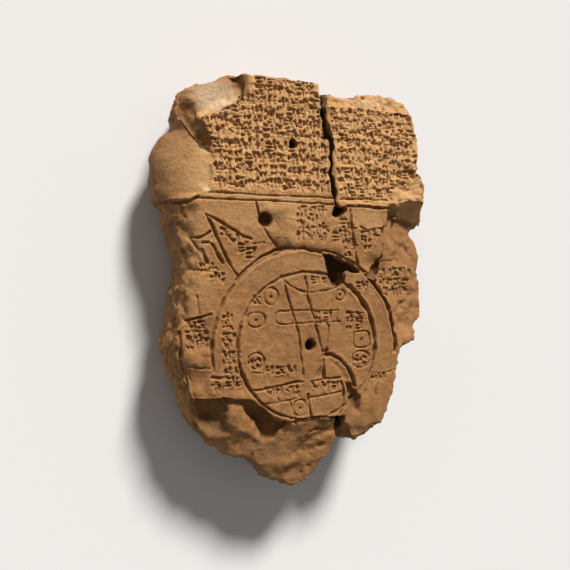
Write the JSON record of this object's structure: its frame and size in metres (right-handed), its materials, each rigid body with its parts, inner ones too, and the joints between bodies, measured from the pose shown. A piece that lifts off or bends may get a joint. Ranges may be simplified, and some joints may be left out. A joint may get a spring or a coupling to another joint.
{
  "type": "cuneiform tablet",
  "caption": "Broken and rejoined clay writing tablet, with rows of pressed wedge strokes above a ringed line drawing, lying face up on its back.",
  "frame": {"origin": "centre of the tablet's bounding box at the underside it rests on", "axes": "+Z out of the written face, +Y towards the tablet's top edge, +X to the reader's right"},
  "size_m": [0.0858, 0.122, 0.026],
  "materials": {
    "fired_clay": "matt"
  },
  "bodies": {
    "root": {"tablet": "fired_clay"}
  },
  "joints": []
}
